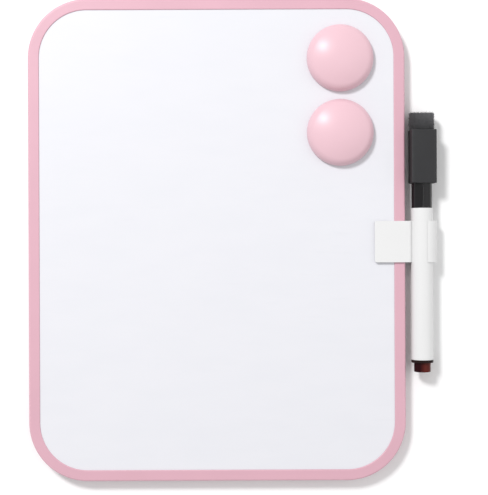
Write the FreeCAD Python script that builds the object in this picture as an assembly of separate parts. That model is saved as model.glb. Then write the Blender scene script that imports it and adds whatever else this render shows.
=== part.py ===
import FreeCAD, Part
import math
import os

# Magnetic whiteboard of about letter size, lying on its back with the writing face up.
# The origin is the middle of the board, on the plane of its hanging strips.
# X runs to the right of the face, Y to its top edge and Z out of the face. Sizes are in millimetres.

# Frame
board_width = 218.0
board_height = 279.0
board_corner_radius = 34.0
frame_face_width = 6.4
frame_wall = 2.2
frame_lip = 0.6
frame_outer_round = 1.2
frame_inner_round = 0.5
frame_rear_round = 0.6

# Lugs on the frame that hold the panel from behind
lug_length = 12.0
lug_thickness = 0.8
lug_grip = 1.3
lugs_on_long_side = 4
lugs_on_short_side = 3

# Panel layers
panel_clearance = 0.3
sheet_thickness = 0.4
core_thickness = 5.4
back_thickness = 0.4

# Hanging strips on the back, each on its foam tape
strip_thickness = 1.6
strip_height = 22.0
strip_side_margin = 31.5
strip_end_margin = 25.0
tape_thickness = 1.2
tape_inset = 1.0

# Dome magnets
magnet_diameter = 38.6
magnet_height = 10.0
magnet_rim_height = 1.2
magnet_shoulder_radius = 6.0
dome_wall = 1.6
disc_diameter = 30.0
disc_thickness = 4.0
disc_clearance = 0.1
disc_ledge = 2.5
magnet_side_margin = 11.7
magnet_top_margin = 9.1
magnet_gap = 4.4

# Marker clip
clip_length = 23.9
clip_offset = -1.55
clip_wall = 1.5
web_wall = 1.85
clip_face_gap = 0.1
clip_side_gap = 0.3
clip_edge_round = 0.3
tab_reach = 11.4
tab_corner_radius = 1.0
rib_width = 1.6
rib_gap = 0.3
rib_lift = 0.15
leaf_reach = 13.0
leaf_gap = 0.15
floor_gap = 0.4
ring_wall = 1.45
ring_lean = 0.5
ring_clearance = 0.1
ring_stand_off = 1.45
neck_drop = 3.0
mouth_left_angle = 71.0
mouth_right_angle = 22.0

# Marker barrel and end plug
barrel_front_diameter = 12.6
barrel_rear_diameter = 12.8
barrel_wall = 1.1
barrel_length = 87.7
barrel_above_clip = 7.4
barrel_edge_round = 0.4
plug_flange_diameter = 12.8
plug_flange_thickness = 1.6
plug_tail_diameter = 9.6
plug_tail_length = 5.4
plug_tail_round = 0.4
plug_spigot_length = 8.0
plug_spigot_wall = 1.2
press_clearance = 0.03

# Nib, nib holder and ink reservoir
nib_diameter = 4.2
nib_clearance = 0.05
nib_projection = 8.0
nib_tail_length = 12.0
holder_spigot_length = 10.0
holder_neck_length = 14.0
holder_nose_length = 6.0
holder_nose_wall = 1.0
reservoir_clearance = 0.25

# Cap, its magnet and the felt eraser
cap_bore_diameter = 9.4
cap_bore_depth = 36.0
cap_clearance = 0.08
skirt_diameter = 11.8
skirt_length = 14.2
block_width = 14.5
block_length = 30.9
block_round = 1.1
block_rear_round = 5.5
block_end_round = 1.0
cap_disc_diameter = 10.0
cap_disc_thickness = 3.0
cap_disc_clearance = 0.1
felt_diameter = 14.4
felt_length = 9.2
felt_round = 0.3

# How far a cutting shape runs past what it cuts, how near counts as touching,
# and the share of a wall that a round may take
cut_over = 1.0
touch = 0.001
round_share = 0.8

# Heights of the layers, from the strips up to the frame's face
back_face = strip_thickness + tape_thickness
frame_rear = back_face - lug_thickness
core_bottom = back_face + back_thickness
core_top = core_bottom + core_thickness
sheet_top = core_top + sheet_thickness
frame_top = sheet_top + frame_lip

# Outlines inside the frame
pocket_width = board_width - 2 * frame_wall
pocket_height = board_height - 2 * frame_wall
pocket_radius = board_corner_radius - frame_wall
panel_width = pocket_width - 2 * panel_clearance
panel_height = pocket_height - 2 * panel_clearance
panel_radius = pocket_radius - panel_clearance
window_width = board_width - 2 * frame_face_width
window_height = board_height - 2 * frame_face_width
window_radius = board_corner_radius - frame_face_width

# Places of the dome magnets
magnet_radius = magnet_diameter / 2
magnet_x = window_width / 2 - magnet_side_margin - magnet_radius
upper_magnet_y = window_height / 2 - magnet_top_margin - magnet_radius
lower_magnet_y = upper_magnet_y - magnet_diameter - magnet_gap

# The marker lies beside the frame, clear of it and of the floor at its widest place
barrel_front_radius = barrel_front_diameter / 2
barrel_rear_radius = barrel_rear_diameter / 2
flange_radius = plug_flange_diameter / 2
barrel_bore_radius = min(barrel_front_radius, barrel_rear_radius) - barrel_wall
ring_inner_radius = max(barrel_front_radius, barrel_rear_radius, flange_radius) + ring_clearance
ring_outer_radius = ring_inner_radius + ring_wall
widest_radius = max(ring_outer_radius, block_width / 2, felt_diameter / 2)
web_inner = board_width / 2 + clip_side_gap
web_outer = web_inner + web_wall
axis_x = web_inner + ring_stand_off + widest_radius
axis_z = floor_gap + widest_radius
ring_x = axis_x + ring_lean

# Places along the marker, from its end plug up to the felt
clip_start = clip_offset - clip_length / 2
clip_end = clip_offset + clip_length / 2
barrel_front = clip_end + barrel_above_clip
barrel_rear = barrel_front - barrel_length
holder_rear = barrel_front - holder_spigot_length
neck_end = barrel_front + holder_neck_length
nose_end = neck_end + holder_nose_length
nib_tip = nose_end + nib_projection
nib_rear = holder_rear - nib_tail_length
spigot_end = barrel_rear + plug_spigot_length
block_start = barrel_front + skirt_length
block_end = block_start + block_length
nib_radius = nib_diameter / 2
nib_bore_radius = nib_radius + nib_clearance
cap_bore_radius = cap_bore_diameter / 2


def box(low, high):
    """Upright box between two opposite corners."""
    size = [top - bottom for bottom, top in zip(low, high)]
    return Part.makeBox(*size, FreeCAD.Vector(*low))


def eased(radius, wall):
    """Radius of a round, limited by the wall that it is on."""
    return min(radius, round_share * wall)


def rounded_plate(width, height, radius, bottom, top):
    """Flat plate with round corners, in the middle of the board, between two heights."""
    plate = box((-width / 2, -height / 2, bottom), (width / 2, height / 2, top))
    upright = [edge for edge in plate.Edges if edge.BoundBox.ZLength > (top - bottom) / 2]
    return plate.makeFillet(radius, upright)


def level_edges(shape, height, outline):
    """Edges that lie in the level plane at a height, within an outline about the middle of the board."""
    half_x, half_y = (side / 2 + touch for side in outline)
    found = []
    for edge in shape.Edges:
        reach = edge.BoundBox
        is_level = abs(reach.ZMin - height) < touch and abs(reach.ZMax - height) < touch
        is_inside = max(-reach.XMin, reach.XMax) < half_x and max(-reach.YMin, reach.YMax) < half_y
        if is_level and is_inside:
            found.append(edge)
    return found


def rod(radius, start, end, x=axis_x, z=axis_z):
    """Round bar along Y between two places, on the marker's axis unless another is given."""
    return Part.makeCylinder(radius, end - start, FreeCAD.Vector(x, start, z), FreeCAD.Vector(0, 1, 0))


def edges_across(shape, place):
    """Edges that lie in the plane across the marker at a place along Y."""
    found = []
    for edge in shape.Edges:
        reach = edge.BoundBox
        if abs(reach.YMin - place) < touch and abs(reach.YMax - place) < touch:
            found.append(edge)
    return found


def edges_along(shape, height):
    """Edges that run along the marker at a height."""
    found = []
    for edge in shape.Edges:
        reach = edge.BoundBox
        is_level = abs(reach.ZMin - height) < touch and abs(reach.ZMax - height) < touch
        if is_level and reach.YLength > max(reach.XLength, touch):
            found.append(edge)
    return found


def one_solid(shape):
    """The single solid of a joined shape, with its split faces merged."""
    return shape.removeSplitter().Solids[0]


def spread(count, length):
    """Evenly spaced places along a straight side, about its middle."""
    step = length / count
    return [(index - (count - 1) / 2) * step for index in range(count)]


def make_lugs():
    """Flat lugs on the frame's inner wall, along its four straight sides, rooted in the wall."""
    lugs = []
    half_lug = lug_length / 2
    inner_x = pocket_width / 2 - panel_clearance - lug_grip
    outer_x = pocket_width / 2 + frame_wall / 2
    inner_y = pocket_height / 2 - panel_clearance - lug_grip
    outer_y = pocket_height / 2 + frame_wall / 2
    for y in spread(lugs_on_long_side, board_height - 2 * board_corner_radius):
        lugs.append(box((inner_x, y - half_lug, frame_rear), (outer_x, y + half_lug, back_face)))
        lugs.append(box((-outer_x, y - half_lug, frame_rear), (-inner_x, y + half_lug, back_face)))
    for x in spread(lugs_on_short_side, board_width - 2 * board_corner_radius):
        lugs.append(box((x - half_lug, inner_y, frame_rear), (x + half_lug, outer_y, back_face)))
        lugs.append(box((x - half_lug, -outer_y, frame_rear), (x + half_lug, -inner_y, back_face)))
    return lugs


def make_frame():
    """Moulded ring: outer wall, front lip over the panel's edge and lugs behind it."""
    ring = rounded_plate(board_width, board_height, board_corner_radius, frame_rear, frame_top)
    outline = (board_width, board_height)
    ring = ring.makeFillet(frame_outer_round, level_edges(ring, frame_top, outline))
    ring = ring.makeFillet(eased(frame_rear_round, frame_wall), level_edges(ring, frame_rear, outline))
    pocket = rounded_plate(pocket_width, pocket_height, pocket_radius, frame_rear - cut_over, sheet_top)
    window = rounded_plate(window_width, window_height, window_radius, core_top, frame_top + cut_over)
    ring = ring.cut(pocket).cut(window)
    window_edges = level_edges(ring, frame_top, (window_width, window_height))
    ring = ring.makeFillet(eased(frame_inner_round, frame_lip), window_edges)
    return one_solid(ring.fuse(make_lugs()))


def make_panel_layer(bottom, top):
    """One layer of the panel, cut to the frame's pocket less its clearance."""
    return rounded_plate(panel_width, panel_height, panel_radius, bottom, top)


def make_strip(y, inset, bottom, top):
    """Flat bar across the back, centred on a height of the board, drawn in by an inset all round."""
    half_length = panel_width / 2 - strip_side_margin - inset
    half_height = strip_height / 2 - inset
    return box((-half_length, y - half_height, bottom), (half_length, y + half_height, top))


def crown_radius():
    """Radius of the crown that meets the shoulder smoothly and reaches the dome's full height."""
    across = magnet_radius - magnet_shoulder_radius
    rise = magnet_height - magnet_rim_height
    return (across ** 2 + rise ** 2 - magnet_shoulder_radius ** 2) / (2 * (rise - magnet_shoulder_radius))


def make_dome(y):
    """Hollow dome: upright rim, round shoulder and shallow crown, with a seat for the disc in its base."""
    crown = crown_radius()
    crown_z = magnet_height - crown
    shoulder_x = magnet_radius - magnet_shoulder_radius
    turn = math.atan2(magnet_rim_height - crown_z, shoulder_x)

    def on_shoulder(angle):
        return FreeCAD.Vector(shoulder_x + magnet_shoulder_radius * math.cos(angle), 0,
                              magnet_rim_height + magnet_shoulder_radius * math.sin(angle))

    def on_crown(angle):
        return FreeCAD.Vector(crown * math.cos(angle), 0, crown_z + crown * math.sin(angle))

    middle = FreeCAD.Vector(0, 0, 0)
    apex = FreeCAD.Vector(0, 0, magnet_height)
    foot = FreeCAD.Vector(magnet_radius, 0, 0)
    outline = Part.Wire([
        Part.makeLine(middle, foot),
        Part.makeLine(foot, on_shoulder(0)),
        Part.Arc(on_shoulder(0), on_shoulder(turn / 2), on_shoulder(turn)).toShape(),
        Part.Arc(on_shoulder(turn), on_crown((turn + math.pi / 2) / 2), apex).toShape(),
        Part.makeLine(apex, middle),
    ])
    dome = Part.Face(outline).revolve(middle, FreeCAD.Vector(0, 0, 1), 360)
    seat = Part.makeCylinder(disc_diameter / 2 + disc_clearance, disc_thickness)
    relief_radius = disc_diameter / 2 - disc_ledge
    relief_top = crown_z + math.sqrt(crown ** 2 - relief_radius ** 2) - dome_wall
    relief = Part.makeCylinder(relief_radius, relief_top)
    dome = one_solid(dome.cut(seat).cut(relief))
    dome.translate(FreeCAD.Vector(magnet_x, y, sheet_top))
    return dome


def make_disc(y):
    """Ferrite disc, flush with the dome's foot and against the ledge in its seat."""
    return Part.makeCylinder(disc_diameter / 2, disc_thickness, FreeCAD.Vector(magnet_x, y, sheet_top))


def around_axis(radius, angle):
    """Point beside the marker's axis at an angle in degrees from straight up, positive to the right."""
    turn = math.radians(angle)
    return FreeCAD.Vector(axis_x + radius * math.sin(turn), clip_start, axis_z + radius * math.cos(turn))


def make_ring():
    """Ring round the barrel, thinner on the left as its outside leans right."""
    ring = rod(ring_outer_radius, clip_start, clip_end, ring_x)
    return ring.cut(rod(ring_inner_radius, clip_start, clip_end))


def make_mouth():
    """Wedge above the marker's axis that opens the ring and slopes the clip's face down to the barrel."""
    far = 2 * ring_outer_radius
    middle_angle = (mouth_right_angle - mouth_left_angle) / 2
    corners = [
        around_axis(0, 0),
        around_axis(far, -mouth_left_angle),
        around_axis(far, middle_angle),
        around_axis(far, mouth_right_angle),
        around_axis(0, 0),
    ]
    return Part.Face(Part.makePolygon(corners)).extrude(FreeCAD.Vector(0, clip_length, 0))


def make_clip():
    """One moulding: tab over the frame's face, web down its side, leaf behind it and an open ring."""
    tab_left = window_width / 2 - tab_reach
    tab_bottom = frame_top + clip_face_gap
    tab_top = tab_bottom + clip_wall
    tab = box((tab_left, clip_start, tab_bottom), (web_outer, clip_end, tab_top))
    tab_corners = [edge for edge in tab.Edges
                   if edge.BoundBox.XMax < tab_left + touch and edge.BoundBox.ZLength > clip_wall / 2]
    tab = tab.makeFillet(tab_corner_radius, tab_corners)
    free_edges = [edge for edge in level_edges(tab, tab_top, (2 * web_outer, board_height))
                  if edge.BoundBox.XMin < web_outer - touch]
    tab = tab.makeFillet(eased(clip_edge_round, clip_wall), free_edges)
    rib_right = window_width / 2 - rib_gap
    rib = box((rib_right - rib_width, clip_start + tab_corner_radius, sheet_top + rib_lift),
              (rib_right, clip_end - tab_corner_radius, tab_bottom))
    web = box((web_inner, clip_start, floor_gap), (web_outer, clip_end, tab_bottom))
    leaf = box((board_width / 2 - leaf_reach, clip_start, floor_gap),
               (web_outer, clip_end, frame_rear - leaf_gap))
    neck = box((web_outer, clip_start, axis_z - neck_drop), (axis_x, clip_end, tab_top))
    neck = neck.cut(rod(ring_outer_radius, clip_start, clip_end, ring_x))
    clip = tab.fuse([rib, web, leaf, neck, make_ring()])
    return one_solid(clip.cut(make_mouth()))


def make_barrel():
    """Tube that tapers a little towards the cap, open at both ends, with its outer edges eased."""
    barrel = Part.makeCone(barrel_rear_radius, barrel_front_radius, barrel_length,
                           FreeCAD.Vector(axis_x, barrel_rear, axis_z), FreeCAD.Vector(0, 1, 0))
    ends = edges_across(barrel, barrel_rear) + edges_across(barrel, barrel_front)
    barrel = barrel.makeFillet(eased(barrel_edge_round, barrel_wall), ends)
    return barrel.cut(rod(barrel_bore_radius, barrel_rear, barrel_front))


def make_end_plug():
    """Turned plug: hollow spigot in the barrel, thin flange on its end and a round tail."""
    flange_end = barrel_rear - plug_flange_thickness
    tail_end = flange_end - plug_tail_length
    spigot_radius = barrel_bore_radius - press_clearance
    tail = rod(plug_tail_diameter / 2, tail_end, flange_end)
    tail = tail.makeFillet(eased(plug_tail_round, plug_tail_length), edges_across(tail, tail_end))
    flange = rod(flange_radius, flange_end, barrel_rear)
    spigot = rod(spigot_radius, barrel_rear, spigot_end)
    spigot = spigot.cut(rod(spigot_radius - plug_spigot_wall, barrel_rear, spigot_end))
    return one_solid(flange.fuse([tail, spigot]))


def make_nib_holder():
    """Front section, bored for the nib: spigot pressed into the barrel, neck for the cap, nose cone."""
    neck_radius = cap_bore_radius - cap_clearance
    spigot = rod(barrel_bore_radius - press_clearance, holder_rear, barrel_front)
    neck = rod(neck_radius, barrel_front, neck_end)
    nose = Part.makeCone(neck_radius, nib_bore_radius + holder_nose_wall, holder_nose_length,
                         FreeCAD.Vector(axis_x, neck_end, axis_z), FreeCAD.Vector(0, 1, 0))
    holder = spigot.fuse([neck, nose])
    return one_solid(holder.cut(rod(nib_bore_radius, holder_rear, nose_end)))


def make_nib():
    """Bullet nib: round rod with a half-ball tip."""
    shoulder = nib_tip - nib_radius
    tip = Part.makeSphere(nib_radius, FreeCAD.Vector(axis_x, shoulder, axis_z))
    return one_solid(rod(nib_radius, nib_rear, shoulder).fuse(tip))


def make_reservoir():
    """Fibre rod between the end plug and the nib holder, with a hole for the nib's tail."""
    reservoir = rod(barrel_bore_radius - reservoir_clearance, spigot_end, holder_rear)
    return reservoir.cut(rod(nib_bore_radius, nib_rear, holder_rear))


def make_cap():
    """Cap: round skirt against the barrel, block with a round back, blind bore and a seat for the disc."""
    half_block = block_width / 2
    block = box((axis_x - half_block, block_start, axis_z - half_block),
                (axis_x + half_block, block_end, axis_z + half_block))
    rear_edges = edges_along(block, axis_z - half_block)
    block = block.makeFillet(eased(block_rear_round, half_block), rear_edges)
    block = block.makeFillet(block_round, edges_along(block, axis_z + half_block))
    ends = edges_across(block, block_start) + edges_across(block, block_end)
    block = block.makeFillet(block_end_round, ends)
    cap = block.fuse(rod(skirt_diameter / 2, barrel_front, block_start + cut_over))
    cap = cap.cut(rod(cap_bore_radius, barrel_front - cut_over, barrel_front + cap_bore_depth))
    seat_radius = cap_disc_diameter / 2 + cap_disc_clearance
    seat = rod(seat_radius, block_end - cap_disc_thickness, block_end + cut_over)
    return one_solid(cap.cut(seat))


def make_cap_disc():
    """Disc magnet in the end of the block, flush with it and covered by the felt."""
    return rod(cap_disc_diameter / 2, block_end - cap_disc_thickness, block_end)


def make_felt():
    """Round felt pad on the end of the block, with its free edge rounded over."""
    felt = rod(felt_diameter / 2, block_end, block_end + felt_length)
    return felt.makeFillet(eased(felt_round, felt_length), edges_across(felt, block_end + felt_length))


parts = {
    "frame": make_frame(),
    "writing_sheet": make_panel_layer(core_top, sheet_top),
    "core_board": make_panel_layer(core_bottom, core_top),
    "back_sheet": make_panel_layer(back_face, core_bottom),
    "upper_magnet_dome": make_dome(upper_magnet_y),
    "upper_magnet_disc": make_disc(upper_magnet_y),
    "lower_magnet_dome": make_dome(lower_magnet_y),
    "lower_magnet_disc": make_disc(lower_magnet_y),
    "marker_clip": make_clip(),
    "marker_barrel": make_barrel(),
    "barrel_end_plug": make_end_plug(),
    "nib_holder": make_nib_holder(),
    "felt_nib": make_nib(),
    "ink_reservoir": make_reservoir(),
    "marker_cap": make_cap(),
    "cap_magnet": make_cap_disc(),
    "eraser_felt": make_felt(),
}

outer_strip_y = panel_height / 2 - strip_end_margin - strip_height / 2
strip_places = {"upper": outer_strip_y, "middle": 0, "lower": -outer_strip_y}
for place, strip_y in strip_places.items():
    parts["rear_strip_" + place] = make_strip(strip_y, 0, 0, strip_thickness)
    parts["strip_tape_" + place] = make_strip(strip_y, tape_inset, strip_thickness, back_face)

os.makedirs("parts", exist_ok=True)
for name, shape in parts.items():
    shape.exportStep("parts/" + name + ".step")
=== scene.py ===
import bmesh
import bpy
import numpy as np
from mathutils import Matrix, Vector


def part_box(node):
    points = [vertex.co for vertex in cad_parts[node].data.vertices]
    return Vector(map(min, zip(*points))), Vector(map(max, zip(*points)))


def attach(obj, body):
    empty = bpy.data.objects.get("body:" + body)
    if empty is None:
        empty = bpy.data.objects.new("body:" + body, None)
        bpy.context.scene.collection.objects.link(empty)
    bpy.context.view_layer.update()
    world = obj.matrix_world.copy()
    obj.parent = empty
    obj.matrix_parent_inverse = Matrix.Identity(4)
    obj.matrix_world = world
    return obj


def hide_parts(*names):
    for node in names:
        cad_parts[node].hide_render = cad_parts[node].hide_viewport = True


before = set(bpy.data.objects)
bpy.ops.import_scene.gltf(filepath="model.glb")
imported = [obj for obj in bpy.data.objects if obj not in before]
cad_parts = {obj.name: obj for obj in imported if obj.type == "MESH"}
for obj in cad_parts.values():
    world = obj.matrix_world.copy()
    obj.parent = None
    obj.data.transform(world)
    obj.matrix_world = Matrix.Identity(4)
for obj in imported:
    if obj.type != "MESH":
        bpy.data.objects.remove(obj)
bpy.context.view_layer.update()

# A magnetic whiteboard on its back, in metres. X runs to the right of the writing face, Y to its top
# edge and Z out of it. Places and outer sizes come from the solids; the values below are what a box
# can't give: walls, rounds and the fine detail of each surface. Angles are in degrees.
mm = 0.001

# Frame moulding
board_corner = 34.0 * mm
face_width = 6.4 * mm
frame_wall = 2.2 * mm
outer_round = 1.2 * mm
inner_round = 0.5 * mm
rear_round = 0.6 * mm
seam_height = 5.2 * mm
seam_depth = 0.05 * mm
seam_width = 0.3 * mm
lug_reach = 1.6 * mm
lug_length = 12.0 * mm
lug_edge = 0.1 * mm
lug_step = 0.02 * mm
lugs_on_side = (4, 3, 4, 3)
plain_share = 0.02
side_margin = 1.0 * mm

# Dome magnets
rim_height = 1.2 * mm
shoulder_radius = 6.0 * mm
foot_round = 0.3 * mm
seat_clearance = 0.1 * mm
seat_ledge = 2.5 * mm
crown_wall = 1.6 * mm
disc_edge = 0.4 * mm

# Marker clip
clip_wall = 1.5 * mm
web_wall = 1.85 * mm
face_gap = 0.1 * mm
tab_corner = 1.0 * mm
tab_round = 0.35 * mm
clip_ease = 0.09 * mm
web_side_gap = 0.3 * mm
web_round = 0.3 * mm
leaf_reach = 13.0 * mm
leaf_round = 0.5 * mm
leaf_thickness = 1.45 * mm
rib_width = 1.6 * mm
rib_gap = 0.3 * mm
rib_lift = 0.15 * mm
rib_round = 0.15 * mm
ring_inner = 6.42 * mm
ring_outer = 7.95 * mm
ring_lean = 0.5 * mm
ring_fillet = 0.3 * mm
mouth_left = 163.0
mouth_right = 68.0
neck_round = 2.5 * mm
neck_lean = 1.05 * mm
lip_wall = 0.3 * mm
thinning_start = 15.0
thinning_power = 1.5

# Marker
barrel_front = 6.3 * mm
barrel_wall = 1.1 * mm
barrel_ease = 0.4 * mm
flange_radius = 6.4 * mm
flange_thickness = 1.6 * mm
flange_front_round = 0.25 * mm
flange_rear_round = 0.3 * mm
tail_radius = 4.8 * mm
tail_round = 0.4 * mm
tail_root_round = 0.2 * mm
tail_dimple = 0.5 * mm
dimple_floor_share = 0.45
dimple_floor_round = 0.3 * mm
dimple_rim_share = 0.6
dimple_rim_round = 0.4 * mm
spigot_clearance = 0.03 * mm
spigot_wall = 1.2 * mm
spigot_round = 0.2 * mm
neck_radius = 4.62 * mm
neck_length = 14.0 * mm
neck_root_round = 0.2 * mm
neck_end_round = 0.8 * mm
nose_radius = 3.15 * mm
nose_round = 0.3 * mm
nose_bore_round = 0.15 * mm
nib_clearance = 0.05 * mm
nib_tail_round = 0.2 * mm
reservoir_flutes = 30
flute_depth = 0.12 * mm
reservoir_round = 0.3 * mm
reservoir_mouth_round = 0.1 * mm

# Cap
bore_radius = 4.7 * mm
bore_depth = 36.0 * mm
bore_round = 0.4 * mm
liner_radius = 5.3 * mm
liner_wall = 0.6 * mm
skirt_radius = 5.9 * mm
skirt_round = 0.3 * mm
block_length = 30.9 * mm
block_corner = 0.5 * mm
block_rear_corner = 5.5 * mm
block_ease = 0.6 * mm
least_corner = 0.15 * mm
cap_roll = -4.5
disc_gap = 0.1 * mm

# Felt
felt_round = 0.25 * mm
felt_root_round = 0.3 * mm
felt_held_length = 0.5 * mm
felt_lump = 0.14 * mm
felt_coarse = dict(waves=40, shortest=1.2 * mm, longest=3.5 * mm, seed=7)
felt_fine = dict(waves=60, shortest=0.5 * mm, longest=1.1 * mm, seed=11)
coarse_share, fine_share = 0.6, 0.4
felt_wear = 0.12
felt_point_gap = 0.22 * mm
fuzz_seed = 23
fuzz_count = 1400
fuzz_on_end = 0.35
fuzz_root_gap = 0.4 * mm
fuzz_length = (0.3 * mm, 0.75 * mm)
fuzz_thickness = 0.035 * mm
fuzz_taper = (1, 0.8, 0.35)
fuzz_scatter = 0.45
fuzz_bend = 0.55
fuzz_turn = (-36.0, 216.0)

# Strips and tapes behind
strip_ease = 0.25 * mm
strip_ribs = 11
strip_margin = 1.0 * mm
rib_relief = 0.05 * mm
tape_bulge = 0.25 * mm

# Floor, light and camera. A softbox stands at a distance from its aim, in a direction from it.
floor_half = 12.0
sky_strength = 0.626
softboxes = {
    "key": dict(aim=(0, 0, 0), direction=(-0.371, 0.507, 0.778), distance=1.542, diameter=0.32, power=15.8),
    "right": dict(aim=(0.1, 0, 0), direction=(0.75, 0, 0.66), distance=1.4, diameter=1.5, power=2.74),
    "kicker": dict(aim=(0.12, 0, 0), direction=(0.16, 0.03, 0.987), distance=1.5, diameter=0.08, power=0.22),
}
camera_place = (15.7 * mm, -4.6 * mm, 650 * mm)
camera_roll = -0.23
sensor_width = 36.0
focal_length = 80.6

# Mesh making
merge_distance = 1e-7
least_length = 1e-9
flat_margin = 0.05 * mm
sharp_angle = 40.0
turned_columns = 144
dome_columns = 192
nib_columns = 72
flute_columns = 8
block_columns = 9
corner_columns = 13
board_corner_steps = 40
shoulder_steps = 16
crown_steps = 40
fillet_steps = 6
ring_steps = 84
lip_steps = 8
ring_bore_steps = 72
tab_corner_steps = 7
nib_steps = 14
block_ease_steps = 6
tape_bow_steps = 8
X, Y, Z = 0, 1, 2


def box_of(node):
    """Lowest and highest corner of a solid, as arrays."""
    low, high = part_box(node)
    return np.array(low), np.array(high)


def unit(vector):
    """Vectors of length one in the same directions."""
    return vector / np.linalg.norm(vector, axis=-1, keepdims=True)


def arc(centre, radius, start, end, steps):
    """Points on a circle about a centre, from one angle to another in degrees, both included."""
    turn = np.radians(np.linspace(start, end, steps + 1))
    return np.array(centre) + radius * np.stack([np.cos(turn), np.sin(turn)], axis=1)


def spot_at(centre, radius, angle):
    """Point on a circle about a centre, at an angle in degrees."""
    return arc(centre, radius, angle, angle, 0)[0]


def rounded_corner(before, corner, after, radius, steps):
    """Arc in place of a corner.

    Its ends lie radius / tan(half the corner's angle) along the two sides and its centre lies on the
    bisector. Points between are the even turn from the first end to the last about that centre, and one
    more point just beyond each end keeps the flat stretch flat in smooth shading.
    """
    back, ahead = unit(before - corner), unit(after - corner)
    half = np.arccos(np.clip(back @ ahead, -1, 1)) / 2
    reach = radius / np.tan(half)
    centre = corner + unit(back + ahead) * radius / np.sin(half)
    first, last = corner + back * reach - centre, corner + ahead * reach - centre
    share = np.linspace(0, 1, steps + 1)[:, None]
    sweep = np.pi - 2 * half
    turned_arc = (np.sin((1 - share) * sweep) * first + np.sin(share * sweep) * last) / np.sin(sweep)
    margin = min(flat_margin, radius / 5)
    return np.concatenate([
        [corner + back * (reach + margin)],
        centre + turned_arc,
        [corner + ahead * (reach + margin)],
    ])


def outline(corners, steps=8, closed=True):
    """Outline through corners (a, b, radius), and for each point 1 on a round and 0 on a flat.

    A corner with no radius stays a single point. An open outline keeps its first and last corner as
    they are.
    """
    spots = np.array([corner[:2] for corner in corners])
    points, worn = [], []
    for index, (spot, (_, _, radius)) in enumerate(zip(spots, corners)):
        is_end = not closed and index in (0, len(spots) - 1)
        if radius == 0 or is_end:
            points.append(spot[None])
            worn.append([0.0])
            continue
        rounded = rounded_corner(spots[index - 1], spot, spots[(index + 1) % len(spots)], radius, steps)
        points.append(rounded)
        worn.append([0.0] + [1.0] * (len(rounded) - 2) + [0.0])
    return np.concatenate(points), np.concatenate(worn)


def plain(points):
    """Points of an arc as corners with no radius, so that they can go into an outline."""
    return [(a, b, 0) for a, b in points]


def evenly(points, spacing):
    """The same open outline with its points evenly spaced along its length."""
    steps = np.linalg.norm(np.diff(points, axis=0), axis=1)
    run = np.concatenate([[0], np.cumsum(steps)])
    places = np.linspace(0, run[-1], int(np.ceil(run[-1] / spacing)) + 1)
    return np.stack([np.interp(places, run, points[:, side]) for side in range(2)], axis=1)


def side_ways(side):
    """Way out of a side of a square, numbered from the right side on, and the way along it."""
    angle = side * np.pi / 2
    return np.array([np.cos(angle), np.sin(angle)]), np.array([-np.sin(angle), np.cos(angle)])


def grid_faces(grid, wrap_rows=False):
    """Corner numbers of the four-sided faces of a grid that closes on itself along its columns."""
    rows, columns = grid.shape[:2]
    row, column = np.meshgrid(np.arange(rows - (not wrap_rows)), np.arange(columns), indexing="ij")
    next_row, next_column = (row + 1) % rows, (column + 1) % columns
    corners = [row * columns + column, row * columns + next_column,
               next_row * columns + next_column, next_row * columns + column]
    return np.stack(corners, axis=-1).reshape(-1, 4).tolist()


def turned(profile, columns=turned_columns):
    """Profile of (radius, place) carried round an axis: radius cos t, radius sin t, place."""
    turn = np.linspace(0, 2 * np.pi, columns, endpoint=False)
    radius, place = profile[:, :1], profile[:, 1:]
    rings = np.broadcast_arrays(radius * np.cos(turn), radius * np.sin(turn), place)
    return np.stack(rings, axis=-1)


def eased_rows(start, end, ease, steps, extra=()):
    """Rows between two places, both ends eased: how far each is drawn in, its place and its wear.

    At an angle t of the quarter turn that eases an end, a row is drawn in by ease (1 - sin t) and lies
    ease (1 - cos t) from the end. Extra rows lie at given distances from each end.
    """
    quarter = np.linspace(0, np.pi / 2, steps + 1)
    straight = np.zeros(len(extra) + 1)
    drawn_in = np.concatenate([[ease + flat_margin], ease * (1 - np.sin(quarter)), straight])
    away = np.concatenate([[0], ease * (1 - np.cos(quarter)), [ease + flat_margin], np.array(extra)])
    worn = np.concatenate([[0.0], np.ones(steps + 1), straight])
    place = np.concatenate([start + away, (end - away)[::-1]])
    return np.concatenate([drawn_in, drawn_in[::-1]]), place, np.concatenate([worn, worn[::-1]])


def bar(section, worn, start, end, ease, extra=(), steps=5):
    """Closed section carried along a straight line and drawn in along its own normals at eased ends.

    Returns the grid, its faces with both ends closed, and the wear of each point.
    """
    tangent = unit(np.roll(section, -1, axis=0) - np.roll(section, 1, axis=0))
    outward = np.stack([tangent[:, 1], -tangent[:, 0]], axis=1)
    drawn_in, place, eased = eased_rows(start, end, ease, steps, extra)
    flat = section - drawn_in[:, None, None] * outward
    along = np.broadcast_to(place[:, None, None], flat[..., :1].shape)
    grid = np.concatenate([flat, along], axis=-1)
    rows, columns = grid.shape[:2]
    last = (rows - 1) * columns
    ends = [list(range(columns)), list(range(last, last + columns))]
    return grid, grid_faces(grid) + ends, np.maximum(worn[None, :], eased[:, None])


def placed(grid, axes, origin=(0, 0, 0)):
    """Grid with its three coordinates put on given axes, about an origin."""
    spots = np.empty_like(grid)
    spots[..., list(axes)] = grid
    return spots + np.array(origin)


def add_object(name, data):
    """Object with its data, linked to the scene."""
    thing = bpy.data.objects.new(name, data)
    bpy.context.scene.collection.objects.link(thing)
    return thing


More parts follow.
